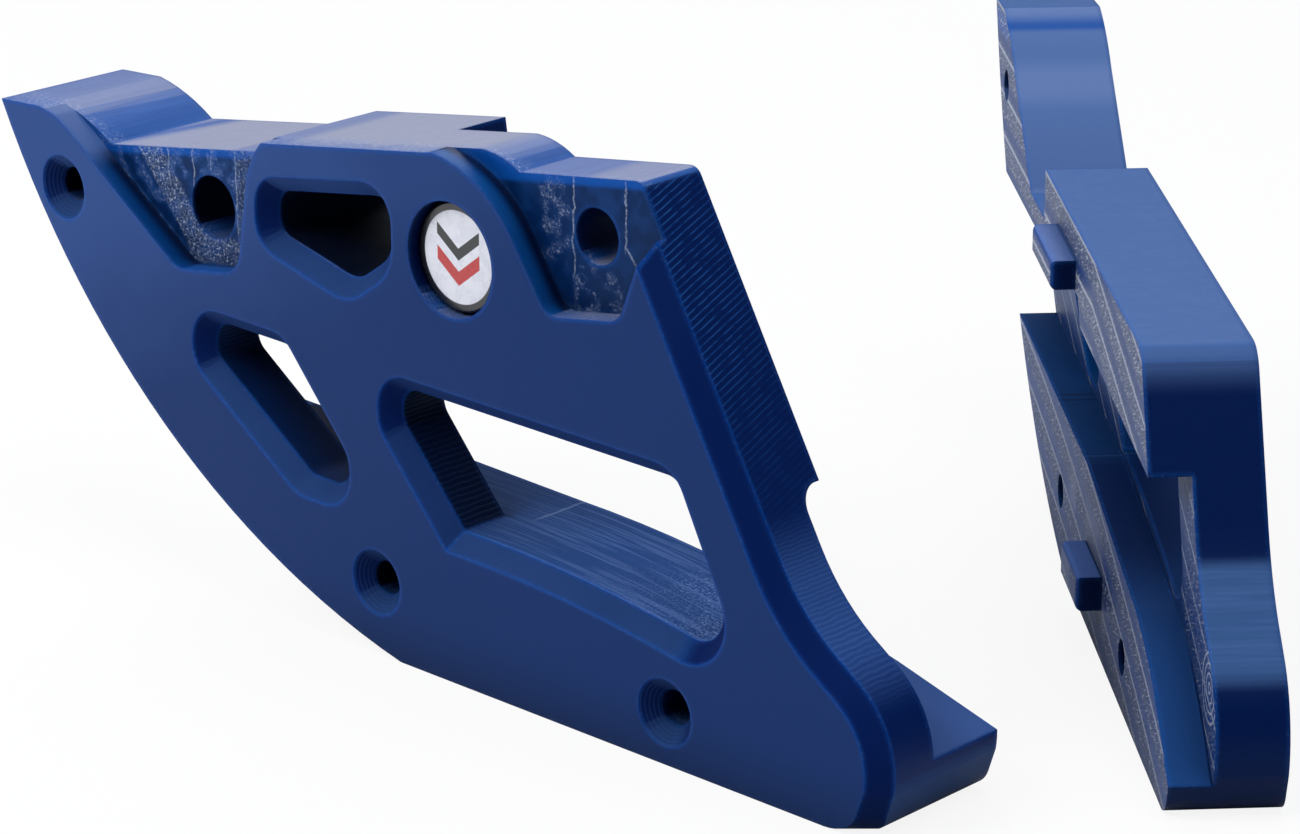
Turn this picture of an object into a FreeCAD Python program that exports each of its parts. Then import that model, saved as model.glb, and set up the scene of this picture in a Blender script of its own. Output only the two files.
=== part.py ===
"""Chain guide for an off-road motorcycle, machined from two blocks of plastic.

The outer half and the inner half share one side profile. Bolted together they form a box
that the chain runs through. Here they stand side by side, apart, on the same flat surface.
A round badge is glued into a pocket in the outer half.

Side profiles are drawn with "along" measured from the front tip towards the rear wheel and
"up" measured from the flat under the guide. Depth runs away from the face that shows.
"""
import FreeCAD, Part
import math
import os
import Sketcher
from FreeCAD import Placement, Rotation, Vector

# Sizes in millimetres and degrees, each with a name of its own.
SIZES = {
    # Thicknesses, measured from the outer face of each half
    "outer_thickness": 30.0,
    "outer_plate": 13.4,
    "outer_block": 18.5,
    "inner_thickness": 20.0,
    "inner_plate": 12.5,
    "recess_depth": 5.0,
    # Profile curves
    "belly_radius": 159.4,
    "crest_radius": 40.0,
    "shoulder_radius": 18.0,
    "sweep_radius": 40.0,
    "heel_radius": 18.1,
    "toe_radius": 5.0,
    "rear_top_radius": 2.5,
    "inner_top_radius": 7.0,
    "inner_foot_radius": 4.0,
    "inner_crest_radius": 45.0,
    "track_radius": 320.0,
    "inner_drop_radius": 72.0,
    # Bevels and roundings
    "rear_bevel": 3.5,
    "window_bevel": 3.3,
    "brow_round": 3.5,
    "brow_low_round": 6.5,
    "saddle_round": 4.0,
    "long_round": 4.0,
    "long_rear_round": 6.0,
    "roof_fillet": 4.0,
    "front_recess_round": 6.0,
    "rear_recess_round": 4.0,
    "recess_wall_radius": 60.0,
    "front_recess_lip_radius": 17.0,
    "rear_recess_lip_radius": 27.0,
    # Holes
    "screw_bore": 6.6,
    "screw_head": 12.5,
    "screw_angle": 90.0,
    "front_mount_bore": 12.2,
    "rear_mount_bore": 10.0,
    # Badge
    "badge_pocket": 21.0,
    "badge_pocket_depth": 4.1,
    "badge_disc": 19.8,
    "badge_thickness": 1.9,
    "badge_edge_round": 0.4,
    # Locating tabs on the inner half and their slots in the outer half
    "tab_reach": 4.8,
    "tab_clearance": 0.25,
    "tab_bottom_gap": 0.5,
    "tab_round": 1.2,
    "slot_runout": 2.0,
    "upper_tab_start": 89.3,
    "upper_tab_end": 113.2,
    "upper_tab_low": 57.8,
    "upper_tab_high": 63.4,
    "lower_tab_start": 134.7,
    "lower_tab_end": 153.2,
    "lower_tab_low": 9.5,
    "lower_tab_high": 16.0,
    # How the inner half stands beside the outer one
    "inner_turn": 43.05,
    "inner_stand_along": 251.1,
    "inner_stand_depth": 41.1,
    "inner_pivot": 221.7,
}

# Corners of the profiles: along, up. Each becomes two cells, NAME_x and NAME_z. Those that
# start with the name of another place are measured from it, so that the rear end follows the
# toe, which sets the guide's length, and the ramp and its recess keep together.
PLACES = {
    # Profile that both halves share
    "tip": (0.0, 86.0),
    "knee": (109.2, 0.0),
    "toe": (221.1, 0.0),
    "heel_low": ("toe", 2.6, 8.0),
    "heel_high": ("toe", -5.4, 26.0),
    "sweep_low": ("toe", -8.6, 28.2),
    "sweep_high": ("toe", -22.3, 42.5),
    "crest": (11.5, 86.6),
    # Top of the outer half, from the rear forwards
    "rear_top": ("toe", -55.2, 101.0),
    "rear_flat": ("rear_top", -29.0, -4.1),
    "shoulder": ("rear_flat", -9.2, 2.4),
    "ramp_top": (73.7, 91.1),
    "ramp_foot": ("ramp_top", -4.7, -3.6),
    "ramp_near_foot": ("ramp_top", -5.4, -4.15),
    "ramp_far_foot": ("ramp_top", -16.5, -5.95),
    "ramp_under": ("ramp_top", 0.0, -9.1),
    "front_flat": (26.6, 80.9),
    # Top of the inner half
    "inner_rear_top": ("toe", -37.5, 69.5),
    "inner_front_top": (73.2, 69.5),
    "inner_front_foot": (73.2, 59.6),
    "inner_flat": (54.8, 59.6),
    "inner_slope": (28.2, 77.7),
    # Front recess in the outer face
    "front_recess_start": (12.7, 87.1),
    "front_recess_slope": (28.2, 77.7),
    "front_recess_corner": (50.5, 62.5),
    "front_recess_rear": (67.8, 65.1),
    "front_recess_lip": ("ramp_top", -2.6, -7.6),
    "front_recess_end": ("ramp_top", 3.5, 1.8),
    "front_recess_above": ("ramp_top", 3.5, 18.9),
    "front_recess_over": (12.7, 110.0),
    # Rear recess in the outer face
    "rear_recess_start": ("shoulder", -9.2, -0.9),
    "rear_recess_slope": ("rear_top", -26.7, -13.2),
    "rear_recess_corner": ("rear_top", -17.8, -26.4),
    "rear_recess_rear": ("rear_top", -0.8, -23.5),
    "rear_recess_exit": ("rear_top", 6.5, -5.0),
    "rear_recess_above": ("rear_top", 12.1, 14.0),
    "rear_recess_over": ("shoulder", -9.2, 15.7),
    # Brow window, under the top
    "brow_front_top": (76.4, 82.1),
    "brow_rear_top": (106.3, 86.9),
    "brow_rear": ("brow_rear_top", 0.0, -11.1),
    "brow_bottom": (97.0, 69.4),
    "brow_front": ("brow_front_top", 0.0, -7.7),
    # Saddle window, over the belly
    "saddle_front_top": (57.3, 53.2),
    "saddle_rear_top": (78.0, 52.9),
    "saddle_rear": (93.5, 35.3),
    "saddle_rear_low": ("saddle_rear", 0.0, -6.3),
    "saddle_low": (83.1, 29.0),
    "saddle_front": ("saddle_front_top", 0.0, -6.7),
    # Long window, beside the chain's run
    "long_front_top": ("saddle_rear_top", 30.0, -0.9),
    "long_rear_top": ("toe", -45.5, 51.5),
    "long_rear": ("toe", -30.4, 21.5),
    "long_bend": ("toe", -45.1, 24.0),
    "long_low": ("long_front_top", 15.3, -23.7),
    "long_front": ("long_front_top", 0.0, -6.4),
    # The same two windows in the inner half, measured from those in the outer one
    "inner_saddle_front_top": ("saddle_front_top", 4.0, -0.2),
    "inner_saddle_rear_top": ("saddle_rear_top", 4.3, -0.1),
    "inner_saddle_rear": ("saddle_rear", 4.5, 2.2),
    "inner_saddle_rear_low": ("saddle_rear_low", 4.5, 2.6),
    "inner_saddle_low": ("saddle_low", 1.9, 2.6),
    "inner_saddle_front": ("saddle_front", 4.0, -0.2),
    "inner_long_front_top": ("long_front_top", 4.0, -0.2),
    "inner_long_rear_top": ("long_rear_top", 4.0, -1.3),
    "inner_long_rear": ("long_rear", 3.9, 0.3),
    "inner_long_bend": ("long_bend", 3.5, 0.9),
    "inner_long_low": ("long_low", 3.3, 2.5),
    "inner_long_front": ("long_front", 4.0, -0.6),
    # Chain channel: the track below, the roof above
    "track_mouth": (10.0, 29.9),
    "track_level": (97.9, 28.3),
    "track_bend": (125.7, 27.5),
    "track_drop": ("toe", -19.1, 17.6),
    "track_exit": ("toe", 16.9, 7.6),
    "roof_exit": ("toe", 16.9, 50.9),
    "roof_mouth": (10.0, 54.3),
    # The same in the inner half
    "inner_track_mouth": (10.0, 31.0),
    "inner_track_bend": (133.0, 30.3),
    "inner_track_drop": ("toe", -34.1, 23.3),
    "inner_track_lip": ("toe", -1.2, 8.3),
    "inner_track_exit": ("toe", 16.9, -3.0),
    "inner_roof_exit": ("toe", 16.9, 49.0),
    "inner_roof_step": (119.7, 52.6),
    "inner_roof_rise": (116.0, 57.4),
    "inner_roof_front": (59.7, 54.5),
    "inner_roof_mouth": (10.0, 54.0),
    # Rear end of the full-depth part of the outer block
    "boss_top": (106.7, 105.0),
    "boss_low": (115.6, 45.0),
    "relief_low": ("toe", 16.9, 45.0),
    "relief_top": ("toe", 16.9, 105.0),
    # Centres of holes
    "screw_front": (17.7, 71.8),
    "screw_middle": (103.2, 14.0),
    "screw_rear": ("toe", -45.8, 9.6),
    "mount_front": (55.8, 74.3),
    "mount_rear": ("rear_top", -10.5, -11.7),
    "badge": (124.3, 79.7),
}

FACE_ROLE = "XZ_Plane"

# Which way an arc bulges from its outline, which is drawn anticlockwise
OUT = -1
IN = 1

# How far past a cut's corners its own edges may reach
EDGE_MARGIN = 0.1

WHEEL_SIDE = ["toe", "heel_low", "heel_high", "sweep_low", "sweep_high"]
BELLY_AND_REAR = [
    ("tip", "belly_radius", OUT), "knee", "toe", ("heel_low", "heel_radius", OUT),
    "heel_high", ("sweep_low", "sweep_radius", IN), "sweep_high",
]
BROW = ["brow_front", "brow_bottom", "brow_rear", "brow_rear_top", "brow_front_top"]
SADDLE = ["saddle_front", "saddle_low", "saddle_rear_low", "saddle_rear", "saddle_rear_top",
          "saddle_front_top"]
LONG = ["long_front", "long_low", "long_bend", "long_rear", "long_rear_top", "long_front_top"]
LONG_ROUNDED = ["long_front", "long_rear_top", "long_front_top"]


def formula(text):
    """Value of a size, or of sizes joined by + or -, and the same as a formula on the sheet."""
    words = text.split()
    value = SIZES[words[0]]
    for sign, name in zip(words[1::2], words[2::2]):
        value += SIZES[name] if sign == "+" else -SIZES[name]
    return value, " ".join(word if word in "+-" else f"sizes.{word}" for word in words)


def spot(place):
    """A place's along and up, added to those of the place that it is measured from."""
    *base, along, up = PLACES[place]
    for name in base:
        start = spot(name)
        along, up = along + start[0], up + start[1]
    return along, up


def spot_formula(place, axis):
    """The cells whose numbers add up to a place's along (x) or up (z)."""
    terms = [spot_formula(name, axis) for name in PLACES[place][:-2]]
    return " + ".join(terms + [f"sizes.{place}_{axis}"])


def make_sheet(doc):
    """The sheet that holds every size, one alias to a cell."""
    sheet = doc.addObject("Spreadsheet::Sheet", "sizes")
    cells = dict(SIZES)
    for place, numbers in PLACES.items():
        cells[place + "_x"], cells[place + "_z"] = numbers[-2:]
    for row, (name, value) in enumerate(cells.items(), start=1):
        sheet.set(f"A{row}", name)
        sheet.set(f"B{row}", str(value))
        sheet.setAlias(f"B{row}", name)
    doc.recompute()
    return sheet


def make_body(doc, label):
    body = doc.addObject("PartDesign::Body", label)
    body.Label = label
    return body


def new_sketch(body, name, depth=None):
    """A sketch on the side plane, or at a depth behind it."""
    sketch = body.newObject("Sketcher::SketchObject", name)
    plane = next(item for item in body.Origin.OriginFeatures if item.Role == FACE_ROLE)
    sketch.AttachmentSupport = [(plane, "")]
    sketch.MapMode = "FlatFace"
    if depth:
        sketch.setExpression("AttachmentOffset.Base.z", f"-({formula(depth)[1]})")
    return sketch


def bind(sketch, constraint, cell):
    index = sketch.addConstraint(constraint)
    sketch.setExpression(f"Constraints[{index}]", cell)


def pin(sketch, geometry, point, place):
    """Holds a point of the sketch at one of the named places."""
    kinds = ("DistanceX", "DistanceY")
    for value, kind, line, axis in zip(spot(place), kinds, (-2, -1), "xz"):
        if value == 0:
            sketch.addConstraint(Sketcher.Constraint("PointOnObject", geometry, point, line))
        else:
            constraint = Sketcher.Constraint(kind, -1, 1, geometry, point, value)
            bind(sketch, constraint, spot_formula(place, axis))


def arc_between(start, end, radius, side):
    """The shorter arc from start to end, bulging to one side of its chord."""
    chord = end - start
    rise = math.sqrt(radius ** 2 - (chord.Length / 2) ** 2)
    normal = Vector(-chord.y, chord.x, 0).normalize()
    centre = (start + end) * 0.5 - normal * (rise * side)
    first, last = (end, start) if side == IN else (start, end)
    turn_first = math.atan2(first.y - centre.y, first.x - centre.x)
    turn_last = math.atan2(last.y - centre.y, last.x - centre.x)
    return Part.ArcOfCircle(Part.Circle(centre, Vector(0, 0, 1), radius), turn_first, turn_last)


def outline(sketch, steps, rounds=None):
    """A closed outline. A step is a place, or a place with the arc that leaves it.

    rounds gives a radius to corners between two straight sides.
    """
    rounds = rounds or {}
    steps = [step if isinstance(step, tuple) else (step, None, None) for step in steps]
    names = [step[0] for step in steps]
    corners = [Vector(*spot(name), 0) for name in names]
    count = len(corners)
    ways = [(corners[(index + 1) % count] - corners[index]).normalize() for index in range(count)]
    trims = []
    for index, name in enumerate(names):
        turn = ways[index - 1].getAngle(ways[index])
        trims.append(SIZES[rounds[name]] * math.tan(turn / 2) if name in rounds else 0)
    starts = [corners[index] + ways[index] * trims[index] for index in range(count)]
    ends = [corners[index] - ways[index - 1] * trims[index] for index in range(count)]
    sides = []
    for index, (name, radius, bulge) in enumerate(steps):
        end = ends[(index + 1) % count]
        if radius is None:
            line = sketch.addGeometry(Part.LineSegment(starts[index], end))
            sides.append((line, 1, 2))
        else:
            sides.append(add_arc(sketch, starts[index], end, radius, bulge))
    for index, name in enumerate(names):
        before, _, before_end = sides[index - 1]
        after, after_start, _ = sides[index]
        if name in rounds:
            bulge = OUT if ways[index - 1].cross(ways[index]).z > 0 else IN
            arc, first, last = add_arc(sketch, ends[index], starts[index], rounds[name], bulge)
            sharp = sketch.addGeometry(Part.Point(corners[index]), True)
            for constraint in (
                Sketcher.Constraint("Tangent", before, before_end, arc, first),
                Sketcher.Constraint("Tangent", arc, last, after, after_start),
                Sketcher.Constraint("PointOnObject", sharp, 1, before),
                Sketcher.Constraint("PointOnObject", sharp, 1, after),
            ):
                sketch.addConstraint(constraint)
            pin(sketch, sharp, 1, name)
        else:
            joint = Sketcher.Constraint("Coincident", before, before_end, after, after_start)
            sketch.addConstraint(joint)
            pin(sketch, after, after_start, name)


def add_arc(sketch, start, end, radius, bulge):
    """Adds an arc and returns its number, with those of its start and end points."""
    value, cells = formula(radius)
    arc = sketch.addGeometry(arc_between(start, end, value, bulge))
    bind(sketch, Sketcher.Constraint("Radius", arc, value), cells)
    return (arc, 2, 1) if bulge == IN else (arc, 1, 2)


def circle(sketch, place, size):
    """A circle of a named diameter about a named place."""
    centre = Vector(*spot(place), 0)
    ring = sketch.addGeometry(Part.Circle(centre, Vector(0, 0, 1), SIZES[size] / 2))
    bind(sketch, Sketcher.Constraint("Diameter", ring, SIZES[size]), f"sizes.{size}")
    pin(sketch, ring, 3, place)


def rectangle(sketch, low_x, high_x, low_z, high_z):
    """An upright rectangle between four sizes."""
    bounds = [formula(text) for text in (low_x, high_x, low_z, high_z)]
    (left, _), (right, _), (bottom, _), (top, _) = bounds
    corners = [Vector(left, bottom, 0), Vector(right, bottom, 0), Vector(right, top, 0),
               Vector(left, top, 0)]
    for index in range(4):
        sketch.addGeometry(Part.LineSegment(corners[index], corners[(index + 1) % 4]))
    for index, kind in enumerate(("Horizontal", "Vertical", "Horizontal", "Vertical")):
        sketch.addConstraint(Sketcher.Constraint("Coincident", index, 2, (index + 1) % 4, 1))
        sketch.addConstraint(Sketcher.Constraint(kind, index))
    for geometry, kinds in ((0, ("DistanceX", "DistanceY")), (2, ("DistanceX", "DistanceY"))):
        for kind, (value, cells) in zip(kinds, bounds[geometry // 2::2]):
            bind(sketch, Sketcher.Constraint(kind, -1, 1, geometry, 1, value), cells)


def pad(body, sketch, length, backwards=True):
    """Thickens a sketch: backwards is away from the face that shows."""
    feature = body.newObject("PartDesign::Pad", sketch.Name + "_pad")
    feature.Profile = sketch
    feature.Reversed = backwards
    feature.setExpression("Length", formula(length)[1])
    sketch.Document.recompute()


def pocket(body, sketch, depth=None, forwards=False):
    """Cuts a sketch to a depth, or right through, and makes sure that it cut something."""
    before = body.Tip.Shape.Volume
    feature = body.newObject("PartDesign::Pocket", sketch.Name + "_pocket")
    feature.Profile = sketch
    feature.Reversed = forwards
    if depth:
        feature.Type = "Length"
        feature.setExpression("Length", formula(depth)[1])
    else:
        feature.Type = "ThroughAll"
    sketch.Document.recompute()
    if not feature.Shape.Volume < before:
        raise ValueError(f"{feature.Name} cuts nothing")


def near(point, place):
    along, up = spot(place)
    return math.hypot(point.x - along, point.z - up) < 1e-3


def in_line(point, start, end):
    """Whether a point lies on the line through two places, seen from the side."""
    along, up = spot(start)
    run, rise = spot(end)[0] - along, spot(end)[1] - up
    aside = (point.x - along) * rise - (point.z - up) * run
    return abs(aside) < 1e-3 * math.hypot(run, rise)


def edges_at(body, places):
    """Names of the edges that run in depth through the named places."""
    names = []
    for index, edge in enumerate(body.Tip.Shape.Edges, start=1):
        first, last = edge.Vertexes[0].Point, edge.Vertexes[-1].Point
        in_depth = math.hypot(first.x - last.x, first.z - last.z) < 1e-4
        if in_depth and edge.Length > 1e-4 and any(near(first, place) for place in places):
            names.append(f"Edge{index}")
    return names


def edges_between(body, depth, places):
    """Names of the edges at one depth that join each place to the next."""
    names = []
    pairs = list(zip(places, places[1:]))
    for index, edge in enumerate(body.Tip.Shape.Edges, start=1):
        first, last = edge.Vertexes[0].Point, edge.Vertexes[-1].Point
        if abs(first.y - depth) > 1e-4 or abs(last.y - depth) > 1e-4:
            continue
        for start, end in pairs:
            if near(first, start) and near(last, end) or near(first, end) and near(last, start):
                names.append(f"Edge{index}")
    return names


def fillet(body, name, edges, radius):
    base = body.Tip
    feature = body.newObject("PartDesign::Fillet", name)
    feature.Base = (base, edges)
    feature.setExpression("Radius", f"sizes.{radius}")
    body.Document.recompute()


def chamfer(body, name, edges, size):
    base = body.Tip
    feature = body.newObject("PartDesign::Chamfer", name)
    feature.Base = (base, edges)
    feature.setExpression("Size", f"sizes.{size}")
    body.Document.recompute()


def bevel_rim(body, name, places, size):
    """Bevels a window's rim in the outer face."""
    along, up = zip(*(spot(place) for place in places))
    rim = []
    for index, edge in enumerate(body.Tip.Shape.Edges, start=1):
        box = edge.BoundBox
        on_face = abs(box.YMin) < 1e-3 and abs(box.YMax) < 1e-3
        in_length = min(along) - EDGE_MARGIN < box.XMin and box.XMax < max(along) + EDGE_MARGIN
        in_height = min(up) - EDGE_MARGIN < box.ZMin and box.ZMax < max(up) + EDGE_MARGIN
        if on_face and in_length and in_height:
            rim.append(f"Edge{index}")
    chamfer(body, name, rim, size)


def window(body, name, places, rounds, start=None, depth=None):
    """A window with rounded corners, cut backwards from a depth."""
    sketch = new_sketch(body, name, start)
    outline(sketch, places, rounds)
    pocket(body, sketch, depth)


def with_sill(places):
    """The same places, with the sill that leaves the second one curved as the track is."""
    return [places[0], (places[1], "track_radius", IN), *places[2:]]


def round_toe(body, size):
    """Rounds the bottom rear corner, with the end of any bevel that meets it."""
    names = edges_at(body, ["toe"])
    for index, edge in enumerate(body.Tip.Shape.Edges, start=1):
        points = [vertex.Point for vertex in edge.Vertexes]
        reach = max(abs(point.x - spot("toe")[0]) for point in points)
        on_flat = max(abs(point.z) for point in points) < 1e-4
        in_depth = abs(points[0].y - points[-1].y) > 1e-4
        if on_flat and in_depth and 1e-4 < reach < 2 * SIZES["rear_bevel"]:
            names.append(f"Edge{index}")
    fillet(body, "toe_round", names, size)


def blend_ramp(body):
    """Spreads the ramp behind the front flat forwards, from the recess floor to the far side."""
    near_end = new_sketch(body, "ramp_near", "recess_depth")
    outline(near_end, ["ramp_near_foot", "ramp_under", "ramp_top"])
    far_end = new_sketch(body, "ramp_far", "outer_thickness")
    outline(far_end, ["ramp_far_foot", "ramp_under", "ramp_top"])
    loft = body.newObject("PartDesign::AdditiveLoft", "ramp_blend")
    loft.Profile = near_end
    loft.Sections = [far_end]
    loft.Ruled = True
    body.Document.recompute()


def cut_channel(body, name, steps, depth, start=None, forwards=False):
    """Cuts the chain's channel from the mating face down to the plate."""
    sketch = new_sketch(body, name, start)
    outline(sketch, steps)
    pocket(body, sketch, depth, forwards)


def drill(body, name, places, size, start=None, depth=None):
    sketch = new_sketch(body, name, start)
    for place in places:
        circle(sketch, place, size)
    pocket(body, sketch, depth)


def countersink(body, places):
    """Bores for the countersunk screws that join the halves."""
    sketch = new_sketch(body, "screw_centres")
    for place in places:
        circle(sketch, place, "screw_bore")
    body.Document.recompute()
    hole = body.newObject("PartDesign::Hole", "screw_seats")
    hole.Profile = sketch
    hole.DepthType = "ThroughAll"
    hole.HoleCutType = "Countersink"
    hole.HoleCutCustomValues = True
    hole.setExpression("Diameter", "sizes.screw_bore")
    hole.setExpression("HoleCutDiameter", "sizes.screw_head")
    hole.setExpression("HoleCutCountersinkAngle", "sizes.screw_angle")
    body.Document.recompute()


def make_outer_half(doc):
    body = make_body(doc, "outer_half")
    profile = new_sketch(body, "outer_profile")
    outline(profile, BELLY_AND_REAR + [
        "rear_top", ("rear_flat", "shoulder_radius", OUT), "shoulder", "ramp_top", "ramp_foot",
        ("front_flat", "crest_radius", OUT), "crest",
    ])
    pad(body, profile, "outer_thickness")
    bevelled = edges_between(body, 0, WHEEL_SIDE + ["rear_top"])
    chamfer(body, "rear_edge_bevel", bevelled, "rear_bevel")
    round_toe(body, "toe_radius")
    blend_ramp(body)
    cut_channel(body, "outer_channel", [
        "track_mouth", "track_level", ("track_bend", "track_radius", IN), "track_drop",
        "track_exit", "roof_exit", "roof_mouth",
    ], "outer_thickness - outer_plate", "outer_thickness", forwards=True)
    round_roof(body)
    cut_channel(body, "block_relief", ["boss_low", "relief_low", "relief_top", "boss_top"],
                "outer_thickness - outer_block", "outer_thickness", forwards=True)
    rounds = dict.fromkeys(BROW, "brow_round")
    rounds |= dict.fromkeys(["brow_bottom", "brow_rear"], "brow_low_round")
    window(body, "brow_window", BROW, rounds)
    bevel_rim(body, "brow_bevel", BROW, "window_bevel")
    through_plate = "outer_plate + roof_fillet"
    rounds = dict.fromkeys(SADDLE, "saddle_round")
    window(body, "saddle_window", SADDLE, rounds, depth=through_plate)
    bevel_rim(body, "saddle_bevel", SADDLE, "window_bevel")
    rounds = dict.fromkeys(LONG_ROUNDED, "long_round") | {"long_rear": "long_rear_round"}
    window(body, "long_window", with_sill(LONG), rounds, depth=through_plate)
    bevel_rim(body, "long_bevel", LONG, "window_bevel")
    cut_recesses(body)
    fillet(body, "rear_top_round", edges_at(body, ["rear_top"]), "rear_top_radius")
    countersink(body, ["screw_front", "screw_middle", "screw_rear"])
    drill(body, "front_mount", ["mount_front"], "front_mount_bore")
    drill(body, "rear_mount", ["mount_rear"], "rear_mount_bore")
    drill(body, "badge_seat", ["badge"], "badge_pocket", depth="badge_pocket_depth")
    cut_slots(body)
    return body


def round_roof(body):
    """The cutter's fillet where the channel's roof meets the plate."""
    depth = SIZES["outer_plate"]
    roof = []
    for index, edge in enumerate(body.Tip.Shape.Edges, start=1):
        points = [vertex.Point for vertex in edge.Vertexes]
        on_plate = all(abs(point.y - depth) < 1e-4 for point in points)
        if on_plate and all(in_line(point, "roof_mouth", "roof_exit") for point in points):
            roof.append(f"Edge{index}")
    fillet(body, "roof_round", roof, "roof_fillet")


def cut_recesses(body):
    """Two recesses in the outer face that the mounting bolts sit in."""
    front = new_sketch(body, "front_recess")
    rounds = dict.fromkeys(["front_recess_corner", "front_recess_rear"], "front_recess_round")
    outline(front, [
        ("front_recess_start", "recess_wall_radius", IN), "front_recess_slope",
        "front_recess_corner", "front_recess_rear",
        ("front_recess_lip", "front_recess_lip_radius", IN), "front_recess_end",
        "front_recess_above", "front_recess_over",
    ], rounds)
    pocket(body, front, "recess_depth")
    rear = new_sketch(body, "rear_recess")
    rounds = dict.fromkeys(["rear_recess_corner", "rear_recess_rear"], "rear_recess_round")
    outline(rear, [
        ("rear_recess_start", "rear_recess_lip_radius", IN), "rear_recess_slope",
        "rear_recess_corner", "rear_recess_rear", "rear_recess_exit", "rear_recess_above",
        "rear_recess_over",
    ], rounds)
    pocket(body, rear, "recess_depth")


def tab_bounds(tab, clearance=None):
    """Four sides of a tab, or of the slot that takes it."""
    low = f" - {clearance}" if clearance else ""
    high = f" + {clearance}" if clearance else ""
    return [f"{tab}_start{low}", f"{tab}_end{high}", f"{tab}_low{low}", f"{tab}_high{high}"]


def cut_slots(body):
    """Slots in the mating face for the tabs. The upper one runs out of the block's end."""
    upper = new_sketch(body, "upper_slot", "outer_thickness")
    bounds = tab_bounds("upper_tab", "tab_clearance")
    bounds[1] += " + slot_runout"
    rectangle(upper, *bounds)
    pocket(body, upper, "tab_reach + tab_bottom_gap", forwards=True)
    lower = new_sketch(body, "lower_slot", "outer_thickness")
    rectangle(lower, *tab_bounds("lower_tab", "tab_clearance"))
    pocket(body, lower, "tab_reach + tab_bottom_gap", forwards=True)


def add_tabs(body):
    """Tabs that stand out of the mating face and locate the outer half."""
    for tab in ("upper_tab", "lower_tab"):
        sketch = new_sketch(body, tab)
        rectangle(sketch, *tab_bounds(tab))
        pad(body, sketch, "tab_reach", backwards=False)
        tip = []
        for index, edge in enumerate(body.Tip.Shape.Edges, start=1):
            box = edge.BoundBox
            at_end = box.YMax < 1e-3 - SIZES["tab_reach"]
            start, end = SIZES[f"{tab}_start"], SIZES[f"{tab}_end"]
            if at_end and start - EDGE_MARGIN < box.XMin < end + EDGE_MARGIN:
                tip.append(f"Edge{index}")
        fillet(body, f"{tab}_round", tip, "tab_round")


def make_inner_half(doc):
    body = make_body(doc, "inner_half")
    profile = new_sketch(body, "inner_profile")
    outline(profile, BELLY_AND_REAR + [
        "inner_rear_top", "inner_front_top", "inner_front_foot", "inner_flat",
        ("inner_slope", "inner_crest_radius", OUT), "crest",
    ])
    pad(body, profile, "inner_thickness")
    round_toe(body, "toe_radius")
    fillet(body, "inner_top_round", edges_at(body, ["inner_rear_top"]), "inner_top_radius")
    fillet(body, "inner_foot_round", edges_at(body, ["inner_flat"]), "inner_foot_radius")
    channel_depth = "inner_thickness - inner_plate"
    cut_channel(body, "inner_channel", [
        "inner_track_mouth", "inner_track_bend",
        ("inner_track_drop", "inner_drop_radius", IN), "inner_track_lip", "inner_track_exit",
        "inner_roof_exit", "inner_roof_step", "inner_roof_rise", "inner_roof_front",
        "inner_roof_mouth",
    ], channel_depth)
    saddle = ["inner_" + place for place in SADDLE]
    rounds = dict.fromkeys(saddle, "saddle_round")
    window(body, "inner_saddle_window", saddle, rounds, channel_depth)
    rounds = {"inner_" + place: "long_round" for place in LONG_ROUNDED}
    rounds["inner_long_rear"] = "long_rear_round"
    long_window = with_sill(["inner_" + place for place in LONG])
    window(body, "inner_long_window", long_window, rounds, channel_depth)
    drill(body, "inner_screws", ["screw_front", "screw_middle", "screw_rear"], "screw_bore")
    add_tabs(body)
    return body


def make_badge(doc):
    """The plain round badge, glued to the bottom of its pocket."""
    body = make_body(doc, "badge_disc")
    sketch = new_sketch(body, "badge_outline", "badge_pocket_depth")
    circle(sketch, "badge", "badge_disc")
    pad(body, sketch, "badge_thickness", backwards=False)
    rim = []
    face = SIZES["badge_pocket_depth"] - SIZES["badge_thickness"]
    for index, edge in enumerate(body.Tip.Shape.Edges, start=1):
        if abs(edge.BoundBox.YMax - face) < 1e-3:
            rim.append(f"Edge{index}")
    fillet(body, "badge_round", rim, "badge_edge_round")
    return body


def stand(outer, inner, badge):
    """Sets the halves on one flat surface, with the origin under the middle of the pair."""
    turn = Rotation(Vector(0, 0, 1), -SIZES["inner_turn"])
    spot = Vector(SIZES["inner_stand_along"], SIZES["inner_stand_depth"], 0)
    inner.Placement = Placement(spot - turn * Vector(SIZES["inner_pivot"], 0, 0), turn)
    box = Part.makeCompound([outer.Shape, inner.Shape]).optimalBoundingBox(False, False)
    shift = Vector(-box.Center.x, -box.Center.y, -box.ZMin)
    for body in (outer, inner, badge):
        body.Placement = Placement(shift, Rotation()) * body.Placement


def check(doc, bodies):
    """Stops if any feature has failed or any piece isn't one sound solid."""
    for item in doc.Objects:
        if "Invalid" in item.State or "Error" in item.State:
            raise ValueError(f"{item.Name} failed: {item.State}")
    for body in bodies:
        if body.Shape.isNull() or not body.Shape.isValid() or len(body.Shape.Solids) != 1:
            raise ValueError(f"{body.Label} isn't one sound solid")


def main():
    doc = FreeCAD.newDocument("chain_guide")
    make_sheet(doc)
    bodies = [make_outer_half(doc), make_inner_half(doc), make_badge(doc)]
    stand(*bodies)
    doc.recompute()
    check(doc, bodies)
    os.makedirs("parts", exist_ok=True)
    for body in bodies:
        body.Shape.exportStep(f"parts/{body.Label}.step")
        box = body.Shape.optimalBoundingBox(False, False)
        print(body.Label, round(body.Shape.Volume), box)


main()
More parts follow.
